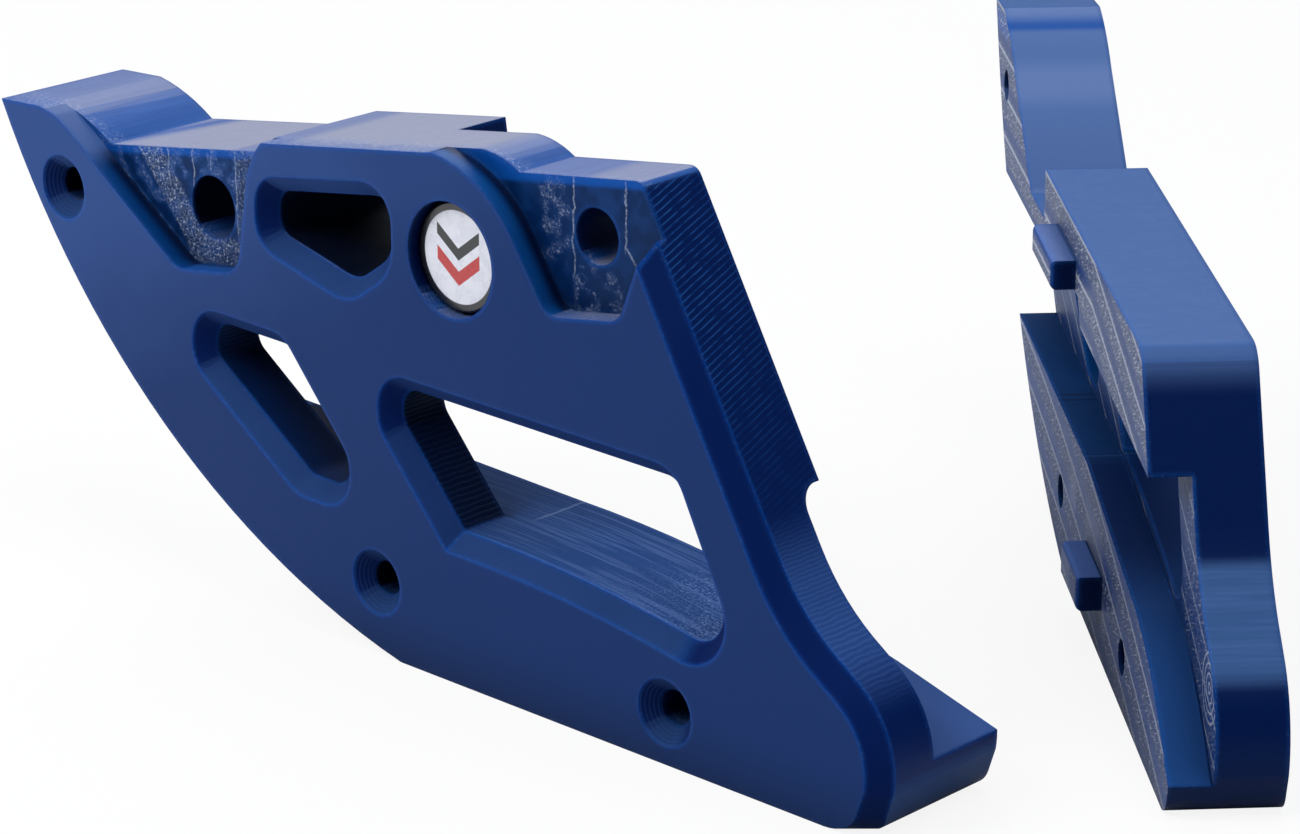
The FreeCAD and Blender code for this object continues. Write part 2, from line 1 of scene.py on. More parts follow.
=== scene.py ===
"""Looks of the two-piece chain guide: machined blue plastic, a round badge, a pale studio.

The shapes all come from the frame. This script gives them materials, which are written as
masks and colours: a mask is a number from 0 to 1 that is worked out from where a point lies
and which way it faces. Much light and shade is painted into these colours: painted shade,
painted light, sheen, highlights and glow along edges. Places are in millimetres, in the
drawing of each half: along it from the front end, in depth from its outside face, and up.
"""
import math

import bpy
from mathutils import Matrix, Vector

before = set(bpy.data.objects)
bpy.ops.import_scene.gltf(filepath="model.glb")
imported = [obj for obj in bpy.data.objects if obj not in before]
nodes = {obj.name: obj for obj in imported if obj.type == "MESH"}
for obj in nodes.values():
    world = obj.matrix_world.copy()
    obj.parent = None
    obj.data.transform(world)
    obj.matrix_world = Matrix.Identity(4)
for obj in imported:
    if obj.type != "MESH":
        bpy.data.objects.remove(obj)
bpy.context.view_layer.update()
scene = bpy.context.scene

MILLIMETRE = 0.001
ONE_MILLIMETRE = (MILLIMETRE, MILLIMETRE, MILLIMETRE)

# Where the drawings of the two halves have their zero point, in metres. The inner half's is
# turned about a point of its own and then moved.
OUTER_ZERO = (-0.133189, -0.103528, 0.0)
INNER_TURN = math.radians(-43.05)
INNER_PIVOT = (0.2217, 0.0, 0.0)
INNER_SPOT = (0.117911, -0.062428, 0.0)
BADGE_CENTRE = (-0.008889, 0, 0.0797)

# Places in the outer half's drawing: along and up, or from and to along it
SCREW_SEATS = ((17.7, 71.8), (103.2, 14.0), (175.3, 9.6))
SEAT_RADIUS = 6.4
BETWEEN_RECESSES = (68.3, 115.0)
BROW_WINDOW = ((72.0, 111.0), (64.0, 88.0))
SADDLE_WINDOW = ((54.0, 97.0), (20.0, 55.0))
RECESS_DEPTH = 5.0
OUTER_THICKNESS = 30.0
# Above these heights a level face is a top, and below them it is the channel's floor
OUTER_TOPS_FROM = (66.0, 72.0)

# Places in the inner half's drawing
SWIRL_CENTRE = (216.5, 21.0)
BAND_PERIOD = 8.4

# Upright lines that the cutter left in the recesses: along, from and to in height
CUTTER_LINES = ((43.4, 77.0, 84.0), (50.4, 76.5, 85.0), (55.8, 81.0, 86.0), (62.5, 70.0, 87.0),
                (149.8, 81.0, 99.0), (162.1, 88.0, 100.0))

# The plastic mirrors the studio weakly, and bluer than it is. Lengths here are in metres.
BLUE_SHINE = (0.3, 0.6, 1.0, 1.0)
MIRRORING = 0.16
EDGE_ROUND = 0.0014
AIR_REACH = 0.012
RAY_SAMPLES = 2
BUMP_HEIGHT = 0.00012
BUMP_STRENGTH = 0.7
DEEP_SHADE = (0.0, 0.0005, 0.004)


class Nodes:
    """Writes a material's node tree as sums, with one method for each kind of node."""

    def __init__(self, name):
        self.material = bpy.data.materials.new(name)
        self.material.use_nodes = True
        self.tree = self.material.node_tree
        self.tree.nodes.clear()

    def node(self, kind, **settings):
        item = self.tree.nodes.new(kind)
        for key, value in settings.items():
            setattr(item, key, value)
        return item

    def feed(self, socket, value):
        if isinstance(value, bpy.types.NodeSocket):
            self.tree.links.new(value, socket)
        else:
            socket.default_value = value

    def math(self, kind, *values):
        item = self.node("ShaderNodeMath", operation=kind)
        for socket, value in zip(item.inputs, values):
            self.feed(socket, value)
        return item.outputs[0]

    def add(self, first, second):
        return self.math("ADD", first, second)

    def times(self, first, second):
        return self.math("MULTIPLY", first, second)

    def less(self, first, second):
        return self.math("SUBTRACT", first, second)

    def size(self, value):
        return self.math("ABSOLUTE", value)

    def rest(self, mask):
        """1 where a mask is 0."""
        return self.less(1.0, mask)

    def highest(self, *values):
        result = values[0]
        for value in values[1:]:
            result = self.math("MAXIMUM", result, value)
        return result

    def product(self, *values):
        result = values[0]
        for value in values[1:]:
            result = self.times(result, value)
        return result

    def length(self, first, second):
        squares = self.add(self.times(first, first), self.times(second, second))
        return self.math("SQRT", squares)

    def ramp(self, value, low, high, start=0.0, end=1.0):
        """A smooth step from start at low to end at high."""
        item = self.node("ShaderNodeMapRange", interpolation_type="SMOOTHSTEP")
        for name, number in (("Value", value), ("From Min", low), ("From Max", high),
                             ("To Min", start), ("To Max", end)):
            self.feed(item.inputs[name], number)
        return item.outputs["Result"]

    def mix(self, amount, first, second):
        """A colour between two colours."""
        item = self.node("ShaderNodeMix", data_type="RGBA")
        self.feed(item.inputs["Factor"], amount)
        colours = [entry for entry in item.inputs if entry.type == "RGBA"]
        for socket, value in zip(colours, (first, second)):
            if isinstance(value, tuple):
                value = (*value, 1.0)
            self.feed(socket, value)
        return next(entry for entry in item.outputs if entry.type == "RGBA")

    def choose(self, amount, first, second):
        """A number between two numbers that may be masks themselves."""
        mixed = self.mix(amount, self.join(first, 0, 0), self.join(second, 0, 0))
        return self.split(mixed)[0]

    def split(self, vector):
        item = self.node("ShaderNodeSeparateXYZ")
        self.feed(item.inputs[0], vector)
        return item.outputs

    def join(self, *parts):
        item = self.node("ShaderNodeCombineXYZ")
        for socket, value in zip(item.inputs, parts):
            self.feed(socket, value)
        return item.outputs[0]

    def place(self, vector, spot=(0, 0, 0), turn=(0, 0, 0), size=(1, 1, 1), kind="POINT"):
        item = self.node("ShaderNodeMapping", vector_type=kind)
        self.feed(item.inputs["Vector"], vector)
        if kind in ("POINT", "TEXTURE"):
            item.inputs["Location"].default_value = spot
        item.inputs["Rotation"].default_value = turn
        item.inputs["Scale"].default_value = size
        return item.outputs[0]

    def noise(self, vector, scale, detail=2.0, rough=0.5, twist=0.0):
        item = self.node("ShaderNodeTexNoise")
        self.feed(item.inputs["Vector"], vector)
        item.inputs["Scale"].default_value = scale
        item.inputs["Detail"].default_value = detail
        item.inputs["Roughness"].default_value = rough
        item.inputs["Distortion"].default_value = twist
        return item.outputs["Fac"]

    def coordinates(self):
        return self.node("ShaderNodeTexCoord").outputs["Object"]

    def facing(self):
        return self.node("ShaderNodeNewGeometry").outputs["True Normal"]

    def bevelled(self, radius):
        item = self.node("ShaderNodeBevel", samples=RAY_SAMPLES)
        item.inputs["Radius"].default_value = radius
        return item.outputs[0]

    def open_air(self, reach):
        """1 in the open, less in corners and bores."""
        item = self.node("ShaderNodeAmbientOcclusion", samples=RAY_SAMPLES)
        item.inputs["Distance"].default_value = reach
        return item.outputs["AO"]

    def alike(self, first, second):
        """1 where two directions are the same."""
        item = self.node("ShaderNodeVectorMath", operation="DOT_PRODUCT")
        self.feed(item.inputs[0], first)
        self.feed(item.inputs[1], second)
        return item.outputs["Value"]

    def bump(self, height, normal):
        item = self.node("ShaderNodeBump")
        item.inputs["Distance"].default_value = BUMP_HEIGHT
        item.inputs["Strength"].default_value = BUMP_STRENGTH
        self.feed(item.inputs["Height"], height)
        self.feed(item.inputs["Normal"], normal)
        return item.outputs[0]

    def shader(self, colour, roughness, normal=None, **fixed):
        item = self.node("ShaderNodeBsdfPrincipled")
        self.feed(item.inputs["Base Color"], colour)
        self.feed(item.inputs["Roughness"], roughness)
        if normal is not None:
            self.feed(item.inputs["Normal"], normal)
        for name, value in fixed.items():
            item.inputs[name.replace("_", " ")].default_value = value
        output = self.node("ShaderNodeOutputMaterial")
        self.tree.links.new(item.outputs[0], output.inputs["Surface"])
        return self.material


def lines(n, value, period, width, wobble):
    """Thin lines each period along a value, with a wobble added to it."""
    saw = n.math("FRACT", n.times(n.add(value, wobble), 1 / period))
    return n.ramp(n.size(n.less(saw, 0.5)), width, 0.02)


def between(n, value, low, high, soft):
    """1 where a value lies from low to high, with soft ends."""
    return n.times(n.ramp(value, low - soft, low + soft), n.ramp(value, high + soft, high - soft))


def near(n, value, centre, width):
    """1 where a value is about the centre, 0 from the width on."""
    return n.ramp(n.size(n.less(value, centre)), width, 0.0)


def paint(n, colour, layers):
    """Lays colours over a first one, each through its own mask."""
    for mask, over in layers:
        colour = n.mix(mask, colour, over)
    return colour


def distance(n, f, start, across):
    """How far a point lies from a slanted line, in the side view."""
    return n.add(n.times(n.less(f.along, start[0]), across[0]),
                 n.times(n.less(f.up, start[1]), across[1]))


def distance_from(n, f, centre):
    """How far a point lies from another, in the side view."""
    return n.length(n.less(f.along, centre[0]), n.less(f.up, centre[1]))


def tear(n, where, scale):
    """Threads and specks that a cutter leaves where it tears the plastic."""
    swirl = n.noise(where, 0.5 * scale, detail=4.0, rough=0.62, twist=1.6)
    threads = near(n, swirl, 0.5, 0.03)
    specks = n.ramp(n.noise(where, scale, detail=2.0, rough=0.75), 0.55, 0.62)
    return n.highest(n.times(threads, 0.6), specks)


class Faces:
    """What every plastic material needs to know of a point: where it is and how it faces."""

    def __init__(self, n, spot, turn, pivot):
        where = n.place(n.coordinates(), spot=spot, turn=(0, 0, turn), size=ONE_MILLIMETRE,
                        kind="TEXTURE")
        where = n.place(where, spot=tuple(value / MILLIMETRE for value in pivot))
        facing = n.place(n.facing(), turn=(0, 0, -turn), kind="NORMAL")
        self.where = where
        self.along, self.depth, self.up = n.split(where)
        self.x, self.y, self.z = n.split(facing)
        # Which way a face looks: out of the drawing, into it, up, along it, or to the rear
        self.towards = n.ramp(self.y, -0.85, -0.97)
        self.away = n.ramp(self.y, 0.85, 0.97)
        self.upwards = n.ramp(self.z, 0.6, 0.8)
        self.flat = n.ramp(n.size(self.y), 0.6, 0.4)
        self.rear = n.product(n.ramp(self.x, 0.25, 0.45), n.ramp(self.z, 0.78, 0.6), self.flat)
        # Edges are where the rounded normal leaves the true one, in the open
        self.rounded = n.bevelled(EDGE_ROUND)
        self.open = n.open_air(AIR_REACH)
        nearness = n.ramp(n.alike(self.rounded, n.facing()), 0.998, 0.8)
        self.edge = n.times(nearness, n.ramp(self.open, 0.45, 0.75))
        # Unevenness from broad to fine, and drawn out along the depth or across it
        self.cloud = n.noise(where, 0.06, detail=3.0)
        self.mottle = n.noise(where, 0.35, detail=4.0)
        self.grain = n.noise(where, 2.2, detail=3.0, rough=0.65)
        self.ribs = n.noise(n.place(where, size=(1.2, 0.05, 1.2)), 1.0, detail=2.0)
        self.runs = n.noise(n.place(where, size=(0.05, 1.6, 0.05)), 1.0, detail=3.0)
        self.wobble = n.times(n.less(self.mottle, 0.5), 0.8)

    def rear_curve(self, n):
        """The rear end below the notch, with its swept curve and the round end under it."""
        return n.product(self.flat, n.ramp(self.x, 0.3, 0.45), n.ramp(self.along, 188.0, 190.0),
                         n.ramp(self.up, 60.0, 56.0))


class OuterFaces(Faces):
    """The regions of the outer half."""

    def __init__(self, n):
        super().__init__(n, OUTER_ZERO, 0.0, (0, 0, 0))
        self.torn = tear(n, self.where, 1.6)
        self.streak = n.ramp(self.ribs, 0.3, 0.7)
        self.floor = n.product(self.towards,
                               between(n, self.depth, RECESS_DEPTH - 0.4, RECESS_DEPTH + 0.4, 0.2),
                               n.rest(between(n, self.along, *BETWEEN_RECESSES, 0.1)))
        lowest, highest = OUTER_TOPS_FROM
        self.level = n.times(self.upwards, n.ramp(self.up, lowest, highest))
        self.inward = n.add(self.depth, n.times(n.less(self.mottle, 0.5), 9.0))
        self.channel = n.product(self.upwards, n.ramp(self.up, highest, lowest),
                                 n.ramp(self.depth, 3.0, 4.5))
        self.heel = self.rear_curve(n)
        self.sweep = n.product(self.heel, n.ramp(self.up, 20.0, 32.0),
                               n.ramp(self.up, 50.0, 38.0))
        self.inside = n.product(self.rear, n.ramp(self.along, 160.0, 156.0),
                                n.ramp(self.depth, 2.0, 4.0), n.ramp(self.up, 88.0, 80.0))
        self.rim = n.product(n.ramp(n.size(self.y), 0.45, 0.6), n.ramp(self.y, 0.0, -0.1),
                             n.ramp(self.y, -0.97, -0.85))
        self.brow = self.in_window(n, BROW_WINDOW, 3.4)
        self.saddle = self.in_window(n, SADDLE_WINDOW, 3.3)
        self.walls = recess_walls(n, self)
        # The recess wall by the horn, painted as lit and kept out of the painted shade
        self.horn_wall = n.product(self.walls, n.ramp(self.along, 29.0, 24.0),
                                   n.ramp(self.up, 76.0, 78.0))
        # A small step at the foot of the ramp, painted pale as lit and kept out of the painted
        # shade
        self.lit_step = n.product(self.towards, between(n, self.along, 66.0, 101.0, 0.5),
                              n.ramp(self.up, 86.0, 86.5), n.ramp(self.depth, 2.0, 3.0))
        self.frost, self.field = recess_frost(n, self)
        self.mated = n.times(self.away, n.ramp(self.depth, OUTER_THICKNESS - 1.0,
                                               OUTER_THICKNESS - 0.2))
        self.mate_frost = n.product(self.mated, n.ramp(self.cloud, 0.4, 0.6), self.torn)
        self.cuts = self.cutter_marks(n)
        self.mills = n.product(lines(n, self.up, 0.8, 0.3, n.times(self.wobble, 0.8)),
                               self.inside, n.ramp(self.up, 62.0, 58.0))

    def in_window(self, n, window, depth):
        """1 in a window's inside, from a depth on, but not on the face behind it."""
        along, up = window
        return n.product(between(n, self.along, *along, 0.5), between(n, self.up, *up, 0.5),
                         n.ramp(self.depth, depth - 0.2, depth + 0.2), n.rest(self.away))

    def cutter_marks(self, n):
        """Slanted lines on the rear face, which fade inwards and downwards."""
        slant = n.less(self.up, n.times(self.depth, 0.28))
        return n.product(lines(n, slant, 1.0, 0.2, n.times(self.wobble, 0.3)), self.rear,
                         n.ramp(self.along, 160.0, 163.0),
                         n.ramp(self.mottle, 0.35, 0.55, 0.2, 1.0),
                         n.ramp(self.depth, 8.0, 24.0, 1.0, 0.25),
                         n.ramp(self.up, 50.0, 85.0, 0.2, 1.0), n.ramp(self.up, 38.0, 50.0))


def recess_walls(n, f):
    """The steep front wall of each recess, which falls away from the light."""
    shallow = n.times(f.flat, n.ramp(f.depth, RECESS_DEPTH + 0.15, RECESS_DEPTH))
    first = n.product(between(n, distance(n, f, (28.2, 77.7), (0.563, 0.826)), -1.4, 1.4, 0.2),
                      between(n, f.along, 13.0, 52.0, 0.2))
    line = between(n, distance(n, f, (139.2, 87.8), (0.829, 0.559)), -1.2, 1.2, 0.2)
    arc = n.times(n.ramp(f.up, 90.4, 90.9), n.ramp(f.up, 98.6, 98.2))
    second = n.times(n.highest(line, arc), between(n, f.along, 118.8, 149.0, 0.2))
    return n.times(n.highest(first, second), shallow)


def recess_frost(n, f):
    """Where the recess floors are torn: a strip, patches under the bores, upright lines."""
    loose = n.times(f.wobble, 2.0)
    slant = n.add(distance(n, f, (35.0, 81.0), (0.77, 0.64)), loose)
    strip = n.times(between(n, slant, 0.4, 6.1, 0.5), n.ramp(f.along, 60.0, 56.0))
    low = n.product(n.ramp(n.add(f.up, loose), 69.8, 68.2), between(n, f.along, 48.5, 69.5, 1.0))
    side = n.times(between(n, f.along, 62.8, 70.0, 0.5), 0.55)
    rear = n.add(f.along, loose)
    patch = n.product(between(n, rear, 142.0, 149.0, 0.8), n.ramp(f.up, 82.0, 85.0),
                      n.ramp(f.mottle, 0.46, 0.6, 0.0, 0.6))
    under = n.product(between(n, rear, 150.0, 161.5, 0.8), n.ramp(f.up, 84.6, 83.0),
                      n.ramp(f.mottle, 0.46, 0.6, 0.0, 0.8))
    field = n.highest(strip, low, side, n.times(patch, 0.9), n.times(under, 0.8))
    slanted = n.times(near(n, distance(n, f, (162.0, 89.0), (0.78, 0.63)), 0.0, 0.4),
                      between(n, f.up, 84.5, 88.6, 0.5))
    strokes = n.highest(slanted, *(stroke(n, f, *place) for place in CUTTER_LINES))
    strokes = n.times(strokes, n.ramp(f.grain, 0.42, 0.56, 0.1, 0.9))
    patchy = n.product(f.torn, n.ramp(f.along, 90.0, 80.0), n.ramp(f.mottle, 0.5, 0.62), 0.35)
    frost = n.highest(n.times(field, f.torn), n.times(strokes, 0.8), patchy)
    return n.times(frost, f.floor), n.times(field, f.floor)


def stroke(n, f, along, low, high):
    """A thin upright line that the cutter leaves between two passes."""
    aside = n.add(f.along, n.times(f.wobble, 2.2))
    return n.times(near(n, aside, along, 0.3), between(n, f.up, low, high, 0.8))


def outer_front(n, f):
    """The outside face, with painted shade that darkens it downwards and to the rear."""
    lift = n.add(n.times(f.along, -0.0055), n.times(f.up, 0.011))
    lift = n.ramp(n.add(lift, n.times(f.cloud, 0.2)), 0.2, 0.8)
    front = n.mix(lift, (0.0055, 0.024, 0.113), (0.021, 0.056, 0.198))
    return n.mix(n.ramp(f.up, 88.0, 98.0, 0.0, 0.5), front, (0.01, 0.035, 0.14))


def outer_tops(n, f):
    """The flat tops, painted pale as the studio's reflection and bluer towards the outside face.
    """
    # Painted reflection: how strongly each part of the tops is painted pale as the studio's sheen
    foot = n.add(f.along, n.times(f.depth, -0.35))
    foot = n.highest(n.ramp(foot, 24.0, 16.0), n.ramp(foot, 20.0, 29.0, 0.0, 1.25))
    block = n.product(n.ramp(f.along, 124.0, 132.0, 1.0, 0.35),
                      n.ramp(f.along, 78.0, 84.0, 0.55, 1.0))
    rearward = n.highest(block, n.ramp(f.along, 66.0, 60.0),
                         n.ramp(f.along, 147.0, 156.0, 0.0, 0.75))
    pale = n.product(f.level, n.ramp(f.z, 0.93, 0.98), n.ramp(f.inward, -1.0, 9.0, 0.35, 1.0),
                     n.ramp(f.along, 6.0, 22.0, 0.38, 0.8), foot, rearward)
    return [
        (f.upwards, n.mix(f.streak, (0.006, 0.065, 0.29), (0.014, 0.085, 0.34))),
        # Painted reflection of the studio, a pale colour over the tops
        (pale, n.mix(n.times(f.streak, 0.3), (0.25, 0.265, 0.37), (0.28, 0.3, 0.41))),
    ]


def outer_channel(n, f):
    """The chain's channel, with painted sheen on the cutter's streaks, and matt at the toe."""
    toe_top = n.times(f.channel, n.ramp(f.along, 200.0, 204.0))
    track = n.times(f.channel, n.ramp(f.depth, 13.0, 13.8))
    seam = n.product(track, near(n, n.add(f.along, n.times(f.wobble, 1.5)), 127.0, 0.5),
                     n.ramp(f.depth, 16.0, 20.0))
    sills = n.product(lines(n, f.along, 0.9, 0.35, n.times(f.wobble, 0.4)), f.channel,
                      n.ramp(f.along, 150.0, 128.0))
    # The cutter's streaks along the channel, painted lighter as sheen
    streaks_and_sheen = n.product(f.channel, n.ramp(f.runs, 0.5, 0.62),
                         n.ramp(f.along, 120.0, 140.0, 0.3, 1.0), n.rest(toe_top))
    # Painted sheen in patches towards the rear of the channel
    sheen = n.product(f.channel, n.ramp(f.grain, 0.5, 0.62),
                      n.ramp(f.cloud, 0.4, 0.6, 0.3, 1.0), n.ramp(f.along, 145.0, 172.0),
                      n.rest(toe_top))
    return [
        (f.channel, n.mix(n.ramp(f.along, 110.0, 150.0), (0.004, 0.03, 0.13),
                          (0.012, 0.055, 0.21))),
        (n.times(streaks_and_sheen, 0.45), (0.09, 0.17, 0.42)),
        (toe_top, (0.04, 0.09, 0.28)),
        (n.times(sheen, 0.7), (0.2, 0.29, 0.56)),
        (n.times(sills, 0.4), (0.05, 0.09, 0.2)),
        (n.times(seam, 0.6), (0.15, 0.22, 0.4)),
    ]


def outer_rear(n, f):
    """The rear faces, painted dark as shade, and the windows' front ends, painted near black."""
    ripples = n.times(lines(n, f.up, 0.62, 0.4, n.times(f.wobble, 0.9)), f.sweep)
    far_step = n.product(f.rear, n.ramp(f.up, 99.5, 100.5), n.ramp(f.along, 130.0, 126.0))
    toe_under = n.product(f.flat, n.ramp(f.z, 0.0, -0.2), n.ramp(f.along, 200.0, 206.0))
    return [
        # Painted shade: the rear faces and the heel are painted dark
        (n.highest(f.rear, f.heel), (0.0, 0.01, 0.085)),
        # Painted sheen low on the heel
        (n.times(f.heel, n.ramp(f.up, 11.0, 5.0)), (0.004, 0.024, 0.12)),
        (f.sweep, (0.019, 0.061, 0.232)),
        (n.times(ripples, 0.35), (0.06, 0.13, 0.36)),
        # Painted light on the lit rear-facing step at the top block's end
        (far_step, (0.004, 0.06, 0.27)),
        (toe_under, (0.004, 0.035, 0.15)),
        # Painted deep shade at the front ends of the windows
        (f.inside, (0.0, 0.0008, 0.008)),
    ]


def outer_rims(n, f):
    """The sloped faces round windows and screws and along the rear edge."""
    rear_rim = n.highest(n.times(f.rim, n.ramp(f.x, 0.3, 0.45)),
                         n.times(f.rim, n.ramp(f.along, 176.0, 182.0)))
    low_rim = n.product(f.rim, n.ramp(f.z, 0.3, 0.6), n.ramp(f.along, 180.0, 176.0))
    seats = n.highest(*(n.ramp(distance_from(n, f, seat), SEAT_RADIUS, SEAT_RADIUS - 0.2)
                        for seat in SCREW_SEATS))
    rings = n.product(f.rim, lines(n, f.depth, 0.55, 0.3, 0.0), seats)
    return [
        # Painted shade: the rims that look to the rear or lie along the rear edge are painted dark
        (rear_rim, (0.0, 0.007, 0.07)),
        (low_rim, n.mix(f.cloud, (0.008, 0.03, 0.115), (0.018, 0.046, 0.16))),
        (n.times(rings, 0.14), (0.05, 0.12, 0.3)),
    ]


def outer_insides(n, f):
    """The insides of the front windows, the cutter's lines, and the face to the inner half."""
    # Painted shade in the saddle window, darker deeper in
    dim = n.mix(n.ramp(f.depth, 4.0, 12.0), (0.0, 0.012, 0.07), (0.0, 0.004, 0.03))
    return [
        (n.times(f.saddle, n.rest(f.towards)), dim),
        # Painted deep shade inside the brow window
        (f.brow, (0.0, 0.0008, 0.01)),
        (n.times(f.cuts, 0.55), (0.012, 0.11, 0.42)),
        (n.times(f.mills, 0.35), (0.01, 0.04, 0.12)),
        (n.times(f.mated, 0.5), (0.06, 0.085, 0.19)),
    ]


def outer_recesses(n, f):
    """The recesses' walls, painted glow and pale flecks along edges, and the torn floors."""
    wall = n.mix(n.ramp(f.along, 60.0, 110.0), (0.0, 0.04, 0.18), (0.002, 0.06, 0.25))
    # The crown: a band of the floor along each recess's top edge, painted bright as glow
    front_crown = distance(n, f, (26.6, 80.9), (-0.156, 1.0))
    rear_crown = distance(n, f, (136.9, 96.9), (-0.14, 1.0))
    crown = n.choose(n.ramp(f.along, 100.0, 90.0), rear_crown, front_crown)
    crown = n.times(f.floor, n.ramp(crown, -2.0, -0.9))
    dust = n.product(f.level, n.ramp(f.z, 0.5, 0.8), n.ramp(f.y, -0.3, -0.1),
                     n.ramp(f.inward, 9.0, 5.0), f.torn, n.rest(n.highest(f.walls, f.brow)))
    # Pale flecks along the open edges, where the grain is high
    edge_flecks = n.times(f.edge, n.ramp(f.grain, 0.52, 0.66))
    return [
        # Painted shade: the walls darken towards the recess floor
        (f.walls, n.mix(n.ramp(f.depth, 1.6, 4.4), wall, (0.0, 0.004, 0.035))),
        # Painted light on the wall by the horn
        (f.horn_wall, (0.05, 0.1, 0.28)),
        # Painted light on the small step at the foot of the ramp
        (f.lit_step, (0.12, 0.16, 0.32)),
        # Painted glow along the open edges, a little stronger on rear faces
        (n.times(f.edge, n.add(0.75, n.times(f.rear, 0.1))), (0.0, 0.09, 0.5)),
        (n.times(crown, 0.7), (0.0, 0.07, 0.36)),
        (n.times(f.field, 0.1), (0.10, 0.14, 0.26)),
        (n.times(f.frost, 0.75), (0.46, 0.52, 0.66)),
        (n.times(f.mate_frost, 0.6), (0.3, 0.33, 0.42)),
        (n.times(dust, 0.3), (0.55, 0.6, 0.75)),
        (n.times(edge_flecks, 0.3), (0.22, 0.34, 0.62)),
    ]


def plastic(n, f, colour, smooth, matt, frosty, *grooves):
    """The shader of both halves: rougher and raised where torn, sunk along the grooves."""
    rough = n.add(n.add(smooth, n.times(f.mottle, 0.12)), n.times(frosty, 0.3))
    height = n.add(n.times(f.grain, 0.12), n.times(f.ribs, n.times(f.upwards, 0.3)))
    for groove in grooves:
        height = n.add(height, n.times(groove, -0.8))
    height = n.add(height, n.times(f.ribs, n.times(f.sweep, 1.2)))
    height = n.add(height, n.times(frosty, 0.9))
    return n.shader(colour, n.add(rough, matt), n.bump(height, f.rounded),
                    Specular_IOR_Level=MIRRORING, Specular_Tint=BLUE_SHINE)


def outer_plastic():
    n = Nodes("outer_plastic")
    f = OuterFaces(n)
    floor_light = n.mix(n.ramp(f.along, 100.0, 120.0), (0.006, 0.042, 0.17),
                        (0.002, 0.024, 0.11))
    floor = n.mix(n.ramp(f.mottle, 0.35, 0.65), (0.0, 0.013, 0.07), floor_light)
    layers = [(f.floor, floor)]
    for region in (outer_tops, outer_channel, outer_rear, outer_rims, outer_insides,
                   outer_recesses):
        layers += region(n, f)
    colour = paint(n, outer_front(n, f), layers)
    lit_wall = n.product(f.walls, n.ramp(f.along, 136.0, 128.0), n.ramp(f.up, 88.0, 92.0), 0.6)
    shade = n.highest(n.ramp(f.open, 0.15, 0.8, 0.12, 1.0), f.horn_wall, lit_wall, f.lit_step)
    colour = n.mix(shade, DEEP_SHADE, colour)
    frosty = n.highest(f.frost, f.mate_frost)
    matt = n.times(n.highest(f.channel, f.saddle, f.brow, f.rim), 0.35)
    return plastic(n, f, colour, 0.38, matt, frosty, n.highest(f.cuts, f.mills))


class InnerFaces(Faces):
    """The regions of the inner half."""

    def __init__(self, n):
        super().__init__(n, INNER_SPOT, INNER_TURN, INNER_PIVOT)
        # The tool crossed the mating face on a slant, and drew its marks out that way
        slant = n.add(self.up, n.times(self.along, -0.436))
        self.torn = tear(n, n.join(n.times(self.along, 0.17), 0.0, slant), 1.9)
        self.streak = n.ramp(self.ribs, 0.35, 0.65)
        self.level = n.times(self.upwards, n.ramp(self.up, 52.0, 56.0))
        self.channel = n.times(self.upwards, n.ramp(self.up, 52.0, 48.0))
        self.heel = n.times(self.rear_curve(n), n.ramp(self.depth, 7.0, 7.3))
        self.sweep = n.product(self.heel, n.ramp(self.up, 21.5, 25.0),
                               n.ramp(self.up, 38.8, 36.0))
        self.mating = n.times(self.towards, n.ramp(self.depth, 0.4, 0.1))
        self.plate = n.times(self.towards, n.ramp(self.depth, 6.8, 7.3))
        lean = self.lean(n)
        bands = lines(n, lean, BAND_PERIOD, 0.3, n.times(self.wobble, 0.15))
        self.borders = lines(n, n.add(lean, 2.2), BAND_PERIOD, 0.07, n.times(self.wobble, 0.3))
        self.land = n.times(self.mating, n.rest(n.times(bands, 0.9)))
        self.frost = self.marks(n)

    def lean(self, n):
        """The height from which the bands are counted: they follow the length, and fall."""
        back = n.less(self.along, 90.0)
        low_fall = n.add(n.times(back, 0.1), n.product(back, back, 0.0008))
        block_fall = n.times(n.highest(n.less(self.along, 133.0), 0.0), 0.2)
        return n.add(self.up, n.choose(n.ramp(self.up, 40.0, 45.0), low_fall, block_fall))

    def marks(self, n):
        """All the pale marks: torn lands, their borders, rings and streaks on the plate."""
        ragged = n.product(self.mating, between(n, self.along, 114.0, 160.0, 4.0),
                           between(n, self.up, 6.0, 24.0, 3.0), n.ramp(self.cloud, 0.42, 0.55))
        swirl = distance_from(n, self, SWIRL_CENTRE)
        rings = n.product(self.plate, lines(n, swirl, 1.7, 0.22, n.times(self.wobble, 0.5)),
                          n.ramp(swirl, 8.0, 6.5))
        slant = n.add(self.up, n.times(self.along, 0.35))
        streaks = n.product(self.plate, lines(n, slant, 6.5, 0.08, n.times(self.wobble, 0.4)))
        above = n.ramp(n.add(self.up, n.times(self.wobble, 2.0)), 47.0, 51.0)
        behind = n.ramp(n.add(self.along, n.times(self.wobble, 3.0)), 186.0, 196.0)
        field = n.highest(self.land, n.product(self.plate, n.highest(above, behind), 0.5))
        return n.highest(n.times(field, self.torn), rings, n.times(ragged, 0.45),
                         n.product(self.mating, self.borders,
                                   n.ramp(self.grain, 0.35, 0.6, 0.5, 1.3)),
                         n.times(streaks, n.ramp(self.grain, 0.4, 0.6, 0.3, 1.0)))


